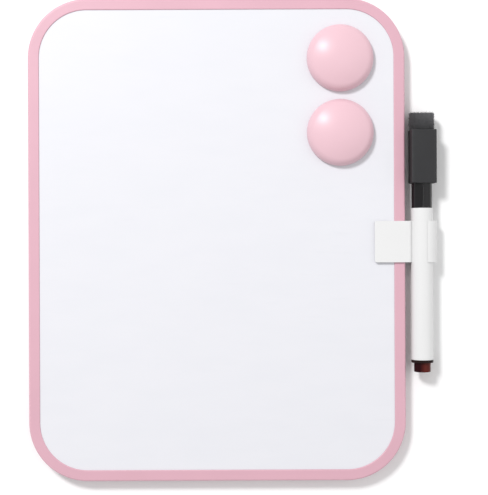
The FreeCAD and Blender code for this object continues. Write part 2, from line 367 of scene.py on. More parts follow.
def add_piece(name, points, faces, finish, body, nodes, worn=None):
    """Mesh piece in one of the FINISHES, with closed seams and poles and faces outwards, tied to a body."""
    mesh = bpy.data.meshes.new(name)
    mesh.from_pydata(points.reshape(-1, 3).tolist(), [], faces)
    edge = np.broadcast_to(0.0 if worn is None else worn, points.shape[:-1])
    wear = mesh.attributes.new("worn", "FLOAT", "POINT")
    wear.data.foreach_set("value", edge.ravel().astype(np.float32))
    shell = bmesh.new()
    shell.from_mesh(mesh)
    bmesh.ops.remove_doubles(shell, verts=shell.verts, dist=merge_distance)
    bmesh.ops.recalc_face_normals(shell, faces=shell.faces)
    shell.to_mesh(mesh)
    shell.free()
    mesh.shade_smooth()
    mesh.set_sharp_from_angle(angle=np.radians(sharp_angle))
    mesh.materials.append(FINISHES[finish])
    piece = add_object(name, mesh)
    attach(piece, body)
    if nodes:
        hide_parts(*nodes)
    return piece


def add_turned(name, corners, axes, origin, finish, body, node, closed=False,
               columns=turned_columns, steps=8):
    """Piece made by turning an outline of (radius, place, round) about an axis."""
    profile, worn = outline(corners, steps=steps, closed=closed)
    grid = turned(profile, columns)
    faces = grid_faces(grid, wrap_rows=closed)
    return add_piece(name, placed(grid, axes, origin), faces, finish, body, [node], worn[:, None])


class Finish:
    """One material: a principled shader and the textures that vary it over a piece."""

    def __init__(self, name, **constants):
        self.material = bpy.data.materials.new(name)
        self.material.use_nodes = True
        self.nodes = self.material.node_tree.nodes
        self.links = self.material.node_tree.links
        self.shader = self.nodes["Principled BSDF"]
        self.place = self.add("ShaderNodeTexCoord").outputs["Object"]
        for socket, value in constants.items():
            self.shader.inputs[socket.replace("_", " ")].default_value = value

    def put(self, socket, value):
        """Links a socket to another node's output, or sets it to a constant."""
        if isinstance(value, bpy.types.NodeSocket):
            self.links.new(value, socket)
        else:
            socket.default_value = value

    def add(self, kind, inputs=None, **settings):
        """Node of a kind, with its settings, and its inputs by name or number."""
        node = self.nodes.new(kind)
        for name, value in settings.items():
            setattr(node, name, value)
        for name, value in (inputs or {}).items():
            self.put(node.inputs[name], value)
        return node

    def stretched(self, size, stretch):
        """Object coordinates in steps of a size, drawn out along each axis by its stretch."""
        scale = [1 / (size * share) for share in stretch]
        return self.add("ShaderNodeMapping", {"Vector": self.place, "Scale": scale}).outputs["Vector"]

    def cloud(self, size, detail=3.0, stretch=(1, 1, 1)):
        """Cloudy pattern from 0 to 1, with blotches of about a size."""
        spots = self.stretched(size, stretch)
        inputs = {"Vector": spots, "Scale": 1.0, "Detail": detail}
        return self.add("ShaderNodeTexNoise", inputs).outputs["Fac"]

    def cells(self, size):
        """Pattern of cells of about a size: the distance from the middle of each."""
        spots = self.stretched(size, (1, 1, 1))
        return self.add("ShaderNodeTexVoronoi", {"Vector": spots, "Scale": 1.0}).outputs["Distance"]

    def span(self, pattern, low, high, start=0.0, end=1.0):
        """Carries a pattern's values from low to high over to start to end, held beyond both."""
        inputs = {"Value": pattern, "From Min": low, "From Max": high, "To Min": start, "To Max": end}
        return self.add("ShaderNodeMapRange", inputs).outputs["Result"]

    def times(self, first, second):
        """Product of two patterns."""
        return self.add("ShaderNodeMath", {0: first, 1: second}, operation="MULTIPLY").outputs[0]

    def blend(self, share, first, second):
        """Colour between two by the share of the second; each is a pattern or a plain colour."""
        first, second = [shade(side) if isinstance(side, tuple) else side for side in (first, second)]
        inputs = {"Factor": share, 6: first, 7: second}
        return self.add("ShaderNodeMix", inputs, data_type="RGBA").outputs[2]

    def worn(self):
        """Share of wear that the piece's own points carry: 1 on its rounded edges."""
        return self.add("ShaderNodeAttribute", attribute_name="worn").outputs["Fac"]

    def along(self, axis):
        """Place along an axis of the board."""
        return self.add("ShaderNodeSeparateXYZ", {"Vector": self.place}).outputs[axis]

    def relief(self, *layers):
        """Bump of several patterns, each with its depth in metres."""
        normal = None
        for pattern, depth in layers:
            inputs = {"Height": pattern, "Distance": depth}
            if normal is not None:
                inputs["Normal"] = normal
            normal = self.add("ShaderNodeBump", inputs).outputs["Normal"]
        self.put(self.shader.inputs["Normal"], normal)

    def done(self, colour, roughness):
        """Puts the varying colour and roughness on the shader and gives the material."""
        self.put(self.shader.inputs["Base Color"], colour)
        self.put(self.shader.inputs["Roughness"], roughness)
        return self.material


def shade(colour, factor=1.0):
    """Colour made lighter or darker by a factor, with an opaque alpha."""
    return [min(1.0, part * factor) for part in colour] + [1.0]


def moulded(name, colour, gloss, grain, tone=0.02, edge_lift=1.06, **constants):
    """Moulded plastic: faint clouds of tone, a fine grain, rubbed streaks and polished, paler edges.

    gloss is the roughness where the skin is smooth and where it is rubbed, grain the depth of its bump.
    """
    finish = Finish(name, **constants)
    clouds = finish.span(finish.cloud(28 * mm), 0.3, 0.7)
    streaks = finish.span(finish.cloud(0.9 * mm, stretch=(1, 16, 1)), 0.58, 0.74)
    patches = finish.span(finish.cloud(11 * mm), 0.45, 0.7)
    rubbed = finish.times(streaks, patches)
    base = finish.blend(clouds, shade(colour, 1 - tone), shade(colour, 1 + tone))
    chafed = finish.times(finish.worn(), finish.span(finish.cloud(1.3 * mm), 0.35, 0.65))
    tinted = finish.blend(chafed, base, shade(colour, edge_lift))
    fine = finish.cloud(0.35 * mm, detail=4.0)
    finish.relief((fine, grain), (finish.cloud(3.5 * mm, detail=1.0), 4 * grain), (rubbed, -grain))
    return finish.done(tinted, finish.span(rubbed, 0, 1, *gloss))


def lacquered_steel():
    """White dry-erase lacquer: a faint orange peel, wiping haze in its gloss and a trace of old strokes."""
    finish = Finish("lacquer", Specular_IOR_Level=0.25, Coat_Weight=0.12, Coat_Roughness=0.3)
    haze = finish.span(finish.cloud(30 * mm, stretch=(1.0, 0.35, 1.0)), 0.35, 0.7)
    strokes = finish.span(finish.cloud(2.2 * mm, stretch=(9, 1, 1)), 0.6, 0.8)
    wiped = finish.times(strokes, finish.span(finish.cloud(45 * mm), 0.45, 0.65))
    white, haze_white = (0.743, 0.743, 0.782), (0.73, 0.732, 0.772)
    base = finish.blend(haze, white, haze_white)
    marked = finish.blend(wiped, base, shade(haze_white, 0.985))
    finish.relief((finish.cloud(1.6 * mm, detail=2.0), 0.004 * mm),
                  (finish.cloud(9 * mm, detail=1.0), 0.003 * mm))
    return finish.done(marked, finish.span(haze, 0, 1, 0.34, 0.4))


def hardboard():
    """Raw hardboard: pressed brown fibres with darker flecks."""
    finish = Finish("hardboard")
    fibres = finish.cloud(0.7 * mm, detail=5.0, stretch=(4, 1, 1))
    flecks = finish.span(finish.cells(1.8 * mm), 0.15, 0.35)
    dark, pale, fleck = (0.2, 0.11, 0.055), (0.34, 0.21, 0.12), (0.1, 0.055, 0.03)
    base = finish.blend(finish.span(fibres, 0.3, 0.7), dark, pale)
    flecked = finish.blend(flecks, fleck, base)
    finish.relief((fibres, 0.05 * mm))
    return finish.done(flecked, finish.span(fibres, 0, 1, 0.75, 0.95))


def liner():
    """Grey-white paper liner: fine felted fibres, a faint cloud of tone and shallow pressing marks."""
    finish = Finish("liner")
    fibres = finish.cloud(0.5 * mm, detail=6.0, stretch=(3, 1, 1))
    clouds = finish.span(finish.cloud(22 * mm), 0.3, 0.7)
    dark, pale, fleck = (0.56, 0.56, 0.55), (0.63, 0.63, 0.62), (0.45, 0.45, 0.44)
    base = finish.blend(clouds, dark, pale)
    flecked = finish.blend(finish.span(fibres, 0.62, 0.8), base, fleck)
    finish.relief((fibres, 0.03 * mm), (finish.cloud(6 * mm, detail=1.0), 0.05 * mm))
    return finish.done(flecked, finish.span(fibres, 0, 1, 0.6, 0.8))


def flexible_magnet():
    """Rolled ferrite rubber: dark brown-black, with drawn lines along the strip and pale dust."""
    finish = Finish("flexible_magnet")
    lines = finish.cloud(0.5 * mm, detail=4.0, stretch=(40, 1, 1))
    dust = finish.span(finish.cloud(4 * mm, detail=6.0), 0.55, 0.75)
    dark, pale, dust_tone = (0.018, 0.014, 0.012), (0.04, 0.032, 0.028), (0.06, 0.054, 0.05)
    dusty = finish.blend(dust, finish.blend(lines, dark, pale), dust_tone)
    finish.relief((lines, 0.03 * mm), (finish.cloud(0.25 * mm), 0.008 * mm))
    return finish.done(dusty, finish.span(dust, 0, 1, 0.55, 0.8))


def foam():
    """Closed-cell foam: off-white, pitted by small cells."""
    finish = Finish("foam")
    cells = finish.cells(0.35 * mm)
    pit, skin = (0.62, 0.61, 0.56), (0.8, 0.79, 0.75)
    base = finish.blend(finish.span(cells, 0.1, 0.6), pit, skin)
    finish.relief((cells, 0.12 * mm))
    return finish.done(base, finish.span(cells, 0, 0.7, 0.7, 0.95))


def ferrite():
    """Ground ferrite: dark grey, with grinding lines, pits and bright grains at the edges."""
    finish = Finish("ferrite", IOR=1.9)
    ground = finish.cloud(0.3 * mm, detail=4.0, stretch=(1, 30, 1))
    pits = finish.span(finish.cells(0.9 * mm), 0.05, 0.2)
    dark, pale, chip = (0.025, 0.025, 0.027), (0.055, 0.055, 0.058), (0.09, 0.09, 0.095)
    base = finish.blend(ground, dark, pale)
    chipped = finish.blend(finish.worn(), base, chip)
    finish.relief((ground, 0.01 * mm), (pits, 0.05 * mm))
    return finish.done(chipped, finish.span(ground, 0.2, 0.8, 0.4, 0.6))


def pressed_felt(name, dark, pale, tuft, sheen, dusty=None):
    """Pressed fibre: crossing strands of two tones over soft tufts.

    dusty names a solid whose fibres are clean and dark at its fixed end and hold pale wiped-off dust at
    its free end; the paling grows to the right, which is painted sheen, light from that side painted in.
    """
    finish = Finish(name, Sheen_Weight=sheen, Sheen_Roughness=0.5)
    strands = finish.cloud(0.22 * mm, detail=5.0, stretch=(5, 1, 1))
    across = finish.cloud(0.25 * mm, detail=5.0, stretch=(1, 1, 6))
    tufts = finish.cloud(tuft, detail=3.0)
    base = finish.blend(finish.span(strands, 0.35, 0.68), dark, pale)
    mixed = finish.blend(finish.times(across, tufts), base, shade(pale, 1.25))
    if dusty:
        low, high = box_of(dusty)
        on_end = finish.span(finish.along("Y"), low[Y], high[Y])
        # painted sheen: the paling is weak on the left and full on the right, standing in for light from the
        # right
        painted_sheen_to_right = finish.span(finish.along("X"), low[X], high[X], 0.22, 1.0)
        patchy = finish.span(tufts, 0.25, 0.65, 0.8, 1.1)
        # real dust at the free end, with painted sheen added towards the right
        dust = finish.times(finish.times(on_end, painted_sheen_to_right), patchy)
        mixed = finish.blend(dust, mixed, shade(pale, 4.2))
    finish.relief((tufts, 0.25 * mm), (strands, 0.1 * mm), (across, 0.08 * mm))
    return finish.done(mixed, finish.span(tufts, 0, 1, 0.85, 1.0))


def smoky_plug():
    """Dark glossy red with faint swirls, darker and greyer in the flange, with painted shade on the tail's
    left and a painted glow on its right.
    """
    finish = Finish("plug_maroon", Specular_IOR_Level=0.1)
    low, high = box_of("barrel_end_plug")
    middle = (low[X] + high[X]) / 2
    flange = box_of("marker_barrel")[0][Y] - flange_thickness
    swirls = finish.cloud(2.5 * mm)
    # darker, greyer colour for the flange
    flange_grey = (0.018, 0.009, 0.009)
    painted_shade_red = finish.blend(swirls, (0.016, 0.0015, 0.003), (0.024, 0.0025, 0.005))
    painted_glow_red = finish.blend(swirls, (0.09, 0.014, 0.011), (0.108, 0.018, 0.014))
    # painted light: the tail runs from painted shade on its left to a painted glow on its right
    painted_glow_to_right = finish.span(finish.along("X"), middle - 2.0 * mm, middle + 0.8 * mm)
    in_flange = finish.span(finish.along("Y"), flange - 0.1 * mm, flange + 0.2 * mm)
    tinted = finish.blend(in_flange, finish.blend(painted_glow_to_right, painted_shade_red, painted_glow_red), flange_grey)
    rubbed = finish.span(finish.cloud(0.9 * mm, stretch=(1, 16, 1)), 0.58, 0.74)
    finish.relief((finish.cloud(0.35 * mm, detail=4.0), 0.002 * mm), (rubbed, -0.002 * mm))
    return finish.done(tinted, finish.span(rubbed, 0, 1, 0.16, 0.26))


def textured_block():
    """Black block: a fine matt texture, faint clouds of tone, a few scratches and slightly paler edges."""
    finish = Finish("block_black", Specular_IOR_Level=0.5)
    clouds = finish.span(finish.cloud(14 * mm), 0.3, 0.7)
    dark, pale, edge = (0.014, 0.014, 0.016), (0.018, 0.018, 0.02), (0.024, 0.024, 0.026)
    matt = finish.blend(clouds, dark, pale)
    chafed = finish.times(finish.worn(), finish.span(finish.cloud(1.1 * mm), 0.35, 0.6))
    tinted = finish.blend(chafed, matt, edge)
    texture = finish.cloud(0.3 * mm, detail=3.0)
    scratches = finish.span(finish.cloud(0.5 * mm, stretch=(1, 14, 1)), 0.62, 0.78)
    finish.relief((texture, 0.02 * mm), (scratches, -0.003 * mm))
    return finish.done(tinted, finish.span(texture, 0.3, 0.7, 0.52, 0.66))


FINISHES = {
    "frame": moulded("frame_pink", (0.657, 0.383, 0.455), gloss=(0.42, 0.52), grain=0.006 * mm),
    "dome": moulded("dome_pink", (0.748, 0.497, 0.555), gloss=(0.32, 0.36), grain=0.0012 * mm,
                    tone=0.012, edge_lift=1.03, Specular_IOR_Level=0.3),
    "clip": moulded("clip_white", (0.742, 0.742, 0.742), gloss=(0.36, 0.46), grain=0.004 * mm,
                    tone=0.01, edge_lift=1.02),
    "barrel": moulded("barrel_white", (0.742, 0.742, 0.742), gloss=(0.28, 0.38), grain=0.003 * mm,
                      tone=0.01, edge_lift=1.02),
    "plug": smoky_plug(),
    "holder": moulded("holder_black", (0.012, 0.012, 0.013), gloss=(0.3, 0.42), grain=0.004 * mm,
                      tone=0.1, edge_lift=1.8),
    "skirt": moulded("skirt_black", (0.0065, 0.006, 0.007), gloss=(0.14, 0.24), grain=0.0015 * mm,
                     tone=0.1, edge_lift=1.6, Specular_IOR_Level=0.35),
    "block": textured_block(),
    "lacquer": lacquered_steel(),
    "core": hardboard(),
    "liner": liner(),
    "strip": flexible_magnet(),
    "foam": foam(),
    "ferrite": ferrite(),
    "felt": pressed_felt("felt_grey", (0.0075, 0.0075, 0.008), (0.028, 0.0276, 0.0296), tuft=1.4 * mm,
                         sheen=0.1, dusty="eraser_felt"),
    "nib": pressed_felt("nib_fibre", (0.006, 0.006, 0.007), (0.02, 0.019, 0.022), tuft=0.8 * mm,
                        sheen=0.35),
    "reservoir": pressed_felt("reservoir_fibre", (0.012, 0.011, 0.013), (0.05, 0.045, 0.05), tuft=1.0 * mm,
                              sheen=0.35),
}


def board_edge(half_x, half_y):
    """Columns round the board, side by side and corner by corner.

    For each column: the centre that the outline turns about there, the way out, and whether a lug
    stands there. A point that lies a distance in from the edge is centre + (corner - distance) * out.
    """
    centres, outs, lugs = [], [], []
    half_lug = lug_length / 2
    for side, count in enumerate(lugs_on_side):
        reach, run = (half_x, half_y) if side % 2 == 0 else (half_y, half_x)
        reach, run = reach - board_corner, run - board_corner
        out, on = side_ways(side)
        middles = (np.arange(count) - (count - 1) / 2) * 2 * run / count
        offsets = np.array([-half_lug - lug_step, -half_lug, half_lug, half_lug + lug_step])
        straight = run - side_margin
        places = np.concatenate([[-straight], (middles[:, None] + offsets).ravel(), [straight]])
        centres.append(reach * out + places[:, None] * on)
        outs.append(np.broadcast_to(out, (len(places), 2)))
        lugs.append(np.concatenate([[0], np.tile([0, 1, 1, 0], count), [0]]))
        curve = arc((0, 0), 1.0, side * 90, side * 90 + 90, board_corner_steps)
        centres.append(np.broadcast_to(reach * out + run * on, curve.shape))
        outs.append(curve)
        lugs.append(np.zeros(len(curve)))
    return np.concatenate(centres), np.concatenate(outs), np.concatenate(lugs)


def make_frame():
    """Frame moulding: its section carried round the board, with a fine mould seam in the outer wall.

    The section is an outline of (distance in from the edge, height). Its lug stands out from the inner
    wall in full where a lug is and is drawn back to a trace between lugs.
    """
    low, high = box_of("frame")
    lip_under = box_of("writing_sheet")[1][Z]
    lug_top = box_of("back_sheet")[0][Z]
    seam = low[Z] + seam_height
    corners = [
        (0, low[Z], rear_round),
        (0, seam - seam_width / 2, 0),
        (seam_depth, seam, 0),
        (0, seam + seam_width / 2, 0),
        (0, high[Z], outer_round),
        (face_width, high[Z], inner_round),
        (face_width, lip_under, lug_edge),
        (frame_wall, lip_under, 0),
        (frame_wall, lug_top, 0),
        (frame_wall + lug_reach, lug_top, lug_edge),
        (frame_wall + lug_reach, low[Z], lug_edge),
    ]
    section, worn = outline(corners, steps=10)
    inset, height = section[:, :1], section[:, 1:]
    centres, outs, lugs = board_edge(high[X], high[Y])
    on_lug = (inset > frame_wall) & (height <= lug_top)
    kept = np.where(lugs > 0, 1.0, plain_share)
    inset = np.where(on_lug, frame_wall + (inset - frame_wall) * kept, inset)
    flat = centres + (board_corner - inset)[..., None] * outs
    grid = np.concatenate([flat, np.broadcast_to(height[..., None], flat[..., :1].shape)], axis=-1)
    faces = grid_faces(grid, wrap_rows=True)
    add_piece("frame_moulding", grid, faces, "frame", "board", ["frame"], worn[:, None])


def disc_profile(radius, start, end):
    """Outline to turn into a ferrite disc between two places, with eased edges."""
    return [(0, start, 0), (radius, start, disc_edge), (radius, end, disc_edge), (0, end, 0)]


def make_magnet(place):
    """Dome magnet: a turned shell and the ferrite disc in its foot.

    The crown is a circle about the axis that meets the shoulder's circle smoothly: their centres lie
    crown radius - shoulder radius apart.
    """
    body = place + "_magnet"
    low, high = box_of(body + "_dome")
    disc_low, disc_high = box_of(body + "_disc")
    foot = (high[X] - low[X]) / 2
    origin = (high[X] - foot, (low[Y] + high[Y]) / 2, low[Z])
    height = high[Z] - low[Z]
    across, rise = foot - shoulder_radius, height - rim_height
    crown = (across ** 2 + rise ** 2 - shoulder_radius ** 2) / (2 * (rise - shoulder_radius))
    crown_centre = height - crown
    meets = np.degrees(np.arctan2(rim_height - crown_centre, across))
    disc_radius = (disc_high[X] - disc_low[X]) / 2
    disc_height = disc_high[Z] - disc_low[Z]
    seat = disc_radius + seat_clearance
    relief = disc_radius - seat_ledge
    relief_top = crown_centre + np.sqrt(crown ** 2 - relief ** 2) - crown_wall
    corners = [
        (0, relief_top, 0),
        (relief, relief_top, foot_round),
        (relief, disc_height, 0),
        (seat, disc_height, 0),
        (seat, 0, foot_round),
        (foot, 0, foot_round),
        *plain(arc((across, rim_height), shoulder_radius, 0, meets, shoulder_steps)),
        *plain(arc((0, crown_centre), crown, meets, 90, crown_steps)[1:]),
    ]
    add_turned(body + "_shell", corners, (X, Y, Z), origin, "dome", body,
               body + "_dome", columns=dome_columns)
    disc = disc_profile(disc_radius, 0, disc_height)
    add_turned(body + "_ferrite", disc, (X, Y, Z), origin, "ferrite", body,
               body + "_disc", steps=3)


def ring_outside(axis, start, end, steps):
    """Outside of the ring between two angles about the marker's axis, in degrees.

    It is a circle about a centre that stands a lean to the right of the axis, so its distance from the
    axis is lean cos t + sqrt(outer^2 - (lean sin t)^2). Towards the free lip that falls to the thin
    lip's by a power of s, the share of the way from where the thinning starts to the lip.
    """
    degrees = np.linspace(start, end, steps + 1)
    turn = np.radians(degrees)
    reach = ring_lean * np.cos(turn) + np.sqrt(ring_outer ** 2 - (ring_lean * np.sin(turn)) ** 2)
    share = np.clip((degrees - 360 - thinning_start) / (mouth_right - thinning_start), 0, 1)
    radius = reach - (reach - ring_inner - lip_wall) * share ** thinning_power
    return arc(axis, radius[:, None], start, end, steps)


def angle_about(centre, spot):
    """Angle in degrees, from 0 to 360, of a spot seen from a centre."""
    return np.degrees(np.arctan2(spot[1] - centre[1], spot[0] - centre[0])) % 360


def make_clip(axis):
    """Clip moulding: its section in X and Z carried along Y.

    The free corners of the tab are rounded in plan: a point is moved in by
    radius - sqrt(radius^2 - (radius - distance from the end)^2), fully at the tab's tip and not at its
    root.
    """
    low, high = box_of("marker_clip")
    frame_high = box_of("frame")[1]
    web_in = frame_high[X] + web_side_gap
    web_out = web_in + web_wall
    window = frame_high[X] - face_width
    tab_under = frame_high[Z] + face_gap
    tab_top = tab_under + clip_wall
    leaf_left = frame_high[X] - leaf_reach
    leaf_top = low[Z] + leaf_thickness
    rib_right = window - rib_gap
    rib_under = box_of("writing_sheet")[1][Z] + rib_lift
    bead = spot_at(axis, ring_inner + lip_wall / 2, mouth_right)
    neck_edge = spot_at(axis, ring_inner, mouth_left)
    centre = np.array(axis) + np.array([ring_lean, 0])
    under_x = web_out + ring_fillet
    under_drop = np.sqrt((ring_outer + ring_fillet) ** 2 - (centre[0] - under_x) ** 2)
    under = (under_x, centre[1] - under_drop)
    under_turn = angle_about(centre, under)
    ring_starts = angle_about(axis, spot_at(centre, ring_outer, under_turn))
    corners = [
        (leaf_left, low[Z], leaf_round),
        (web_out, low[Z], leaf_round),
        *plain(arc(under, ring_fillet, 180, under_turn - 180, fillet_steps)),
        *plain(ring_outside(axis, ring_starts, 360 + mouth_right, ring_steps)[1:]),
        *plain(arc(bead, lip_wall / 2, mouth_right, mouth_right + 180, lip_steps)[1:]),
        *plain(arc(axis, ring_inner, 360 + mouth_right, mouth_left, ring_bore_steps)[1:-1]),
        (*neck_edge, 0),
        (neck_edge[0] - neck_lean, tab_top, neck_round),
        (low[X], tab_top, tab_round),
        (low[X], tab_under, tab_round),
        (rib_right - rib_width, tab_under, rib_round),
        (rib_right - rib_width, rib_under, rib_round),
        (rib_right, rib_under, rib_round),
        (rib_right, tab_under, rib_round),
        (web_in, tab_under, web_round),
        (web_in, leaf_top, web_round),
        (leaf_left, leaf_top, leaf_round),
    ]
    section, worn = outline(corners, steps=6)
    turn = np.linspace(np.pi / 4, np.pi / 2, tab_corner_steps + 1)
    corner_rows = tab_corner * (1 - np.cos(turn))
    grid, faces, edge = bar(section, worn, low[Y], high[Y], clip_ease, extra=corner_rows)
    points = placed(grid, (X, Z, Y))
    inside = np.minimum(points[..., Y] - low[Y], high[Y] - points[..., Y])
    short = np.clip(tab_corner - inside, 0, tab_corner)
    drawn = tab_corner - np.sqrt(tab_corner ** 2 - short ** 2)
    on_tab = points[..., Z] > tab_under - flat_margin
    share = np.clip((rib_right - points[..., X]) / (rib_right - low[X]), 0, 1) * on_tab
    points[..., X] += drawn * share
    add_piece("clip_moulding", points, faces, "clip", "clip", ["marker_clip"], edge)


def make_marker(axis):
    """Marker: barrel tube, end plug, nib holder, nib and fibre reservoir, turned about its axis."""
    origin = (axis[0], 0, axis[1])
    axes = (X, Z, Y)
    low, high = box_of("marker_barrel")
    outer = (high[X] - low[X]) / 2
    bore = barrel_front - barrel_wall
    rear, front = low[Y], high[Y]
    barrel = [(outer, rear, barrel_ease), (barrel_front, front, barrel_ease),
              (bore, front, 0), (bore, rear, 0)]
    add_turned("barrel_tube", barrel, axes, origin, "barrel", "marker",
               "marker_barrel", closed=True)

    plug_low, plug_high = box_of("barrel_end_plug")
    spigot = bore - spigot_clearance
    flange = rear - flange_thickness
    tail = plug_low[Y]
    plug = [
        (0, tail + tail_dimple, 0),
        (tail_radius * dimple_floor_share, tail + tail_dimple, dimple_floor_round),
        (tail_radius * dimple_rim_share, tail, dimple_rim_round),
        (tail_radius, tail, tail_round),
        (tail_radius, flange, tail_root_round),
        (flange_radius, flange, flange_rear_round),
        (flange_radius, rear, flange_front_round),
        (spigot, rear, 0),
        (spigot, plug_high[Y], spigot_round),
        (spigot - spigot_wall, plug_high[Y], spigot_round),
        (spigot - spigot_wall, rear, 0),
        (0, rear, 0),
    ]
    add_turned("end_plug", plug, axes, origin, "plug", "marker", "barrel_end_plug")

    holder_low, holder_high = box_of("nib_holder")
    nib_low, nib_high = box_of("felt_nib")
    nib_radius = (nib_high[Z] - nib_low[Z]) / 2
    nib_bore = nib_radius + nib_clearance
    neck_end = front + neck_length
    holder = [
        (nib_bore, holder_low[Y], 0),
        (spigot, holder_low[Y], spigot_round),
        (spigot, front, 0),
        (neck_radius, front, neck_root_round),
        (neck_radius, neck_end, neck_end_round),
        (nose_radius, holder_high[Y], nose_round),
        (nib_bore, holder_high[Y], nose_bore_round),
    ]
    add_turned("front_section", holder, axes, origin, "holder", "marker",
               "nib_holder", closed=True)

    tip = nib_high[Y] - nib_radius
    nib = [
        (0, nib_low[Y], 0),
        (nib_radius, nib_low[Y], nib_tail_round),
        *plain(arc((0, tip), nib_radius, 0, 90, nib_steps)),
    ]
    add_turned("bullet_nib", nib, axes, origin, "nib", "marker", "felt_nib", columns=nib_columns)
    make_reservoir(axes, origin, nib_low[Y], nib_bore)


def make_reservoir(axes, origin, nib_rear, nib_bore):
    """Fibre rod with a hole for the nib's tail and flutes along its outside.

    Round the rod its outer radius is radius - depth (1 + cos(flutes t)) / 2.
    """
    low, high = box_of("ink_reservoir")
    radius = (high[X] - low[X]) / 2
    corners = [
        (0, low[Y], 0),
        (radius, low[Y], reservoir_round),
        (radius, high[Y], reservoir_round),
        (nib_bore, high[Y], reservoir_mouth_round),
        (nib_bore, nib_rear, 0),
        (0, nib_rear, 0),
    ]
    profile, worn = outline(corners, closed=False)
    columns = reservoir_flutes * flute_columns
    grid = turned(profile, columns)
    turn = np.linspace(0, 2 * np.pi, columns, endpoint=False)
    outer = profile[:, 0] > (radius + nib_bore) / 2
    sunk = flute_depth / radius * (1 + np.cos(reservoir_flutes * turn)) / 2
    grid[..., :2] *= 1 - np.where(outer[:, None], sunk, 0)[..., None]
    add_piece("fibre_reservoir", placed(grid, axes, origin), grid_faces(grid), "reservoir", "marker",
              ["ink_reservoir"], worn[:, None])


def block_section(half, drawn_in):
    """Section of the block, drawn in by a distance.

    It is a square with small corners in front and large ones behind. Each side has even places between
    its two corners, then comes the arc of the corner that ends it. The whole section is rolled a little
    about the axis.
    """
    radii = np.array([block_corner, block_corner, block_rear_corner, block_rear_corner])
    radii = np.maximum(radii - drawn_in, least_corner)
    reach = half - drawn_in
    sides = []
    for side in range(4):
        out, on = side_ways(side)
        first, last = radii[side - 1] - reach, reach - radii[side]
        places = np.linspace(first, last, block_columns + 2)[1:-1]
        sides.append(reach * out + places[:, None] * on)
        curve = arc((0, 0), radii[side], side * 90, side * 90 + 90, corner_columns - 1)
        sides.append(last * (out + on) + curve)
    roll = np.radians(cap_roll)
    turn = np.array([[np.cos(roll), np.sin(roll)], [-np.sin(roll), np.cos(roll)]])
    return np.concatenate(sides) @ turn


def make_cap(axis):
    """Cap: a turned skirt with the bore, a block round its end and a disc magnet under the felt.

    The block is rows of rings along Y, from the blind end of the hole for the skirt out to the block's
    start, on to its end and into the seat of the disc. Each ring is a circle or the block's section,
    with the same columns: a circle's points lie in the directions from the axis of the section's.
    """
    low, high = box_of("marker_cap")
    disc_low, disc_high = box_of("cap_magnet")
    half = (high[X] - low[X]) / 2
    block_start = high[Y] - block_length
    bore_end = low[Y] + bore_depth
    liner_end = bore_end + liner_wall
    disc_radius = (disc_high[X] - disc_low[X]) / 2
    seat_radius = disc_radius + disc_gap
    directions = unit(block_section(half, 0))

    def ring(place, radius):
        """Circle of a radius at a place along Y."""
        return np.column_stack([radius * directions, np.full(len(directions), place)])

    def slice_at(place, drawn_in):
        """Section of the block, drawn in by a distance, at a place along Y."""
        return np.column_stack([block_section(half, drawn_in), np.full(len(directions), place)])

    skirt = [
        (0, bore_end, 0),
        (bore_radius, bore_end, bore_round),
        (bore_radius, low[Y], skirt_round),
        (skirt_radius, low[Y], skirt_round),
        (skirt_radius, block_start, 0),
        (liner_radius, block_start, 0),
        (liner_radius, liner_end, bore_round),
        (0, liner_end, 0),
    ]
    axes, origin = (X, Z, Y), (axis[0], 0, axis[1])
    add_turned("cap_skirt", skirt, axes, origin, "skirt", "cap", "marker_cap")

    drawn_in, places, eased = eased_rows(block_start, high[Y], block_ease, block_ease_steps)
    grid = np.array([
        ring(liner_end, 0),
        ring(liner_end, liner_radius),
        ring(block_start, liner_radius),
        *map(slice_at, places, drawn_in),
        ring(high[Y], seat_radius),
        ring(disc_low[Y], seat_radius),
        ring(disc_low[Y], 0),
    ])
    wear = np.concatenate([[0] * 3, eased, [0] * 3])
    points = placed(grid, axes, origin)
    front_corners = [0] * block_columns + [1] * corner_columns
    rear_corners = [0] * (block_columns + corner_columns)
    on_corner = np.array(2 * front_corners + 2 * rear_corners) * (points[..., Y] > block_start)
    edge = np.maximum(wear[:, None], on_corner)
    add_piece("cap_block", points, grid_faces(grid), "block", "cap", ["marker_cap"], edge)

    disc = disc_profile(disc_radius, disc_low[Y], disc_high[Y])
    add_turned("cap_disc_magnet", disc, axes, origin, "ferrite", "cap", "cap_magnet", steps=3)


def ripple(points, waves, shortest, longest, seed):
    """Smooth random field about 0: the sum of sine waves of drawn directions, lengths and phases."""
    draw = np.random.default_rng(seed)
    directions = unit(draw.normal(size=(waves, 3)))
    lengths = draw.uniform(shortest, longest, (waves, 1))
    phases = draw.uniform(0, 2 * np.pi, waves)
    return np.sin(points @ (directions * 2 * np.pi / lengths).T + phases).sum(axis=-1) / np.sqrt(waves)


def wear_felt(points, axis, low, high):
    """Lets the felt run on at its sides and back, as its front is worn down to the solid's length.

    The move is wear * depth below the pad's highest line, at most down to the axis, * share of the way
    from the block to the free end.
    """
    depth = np.clip(high[Z] - points[..., Z], 0, high[Z] - axis[1])
    points[..., Y] += felt_wear * depth * np.clip((points[..., Y] - low[Y]) / (high[Y] - low[Y]), 0, 1)


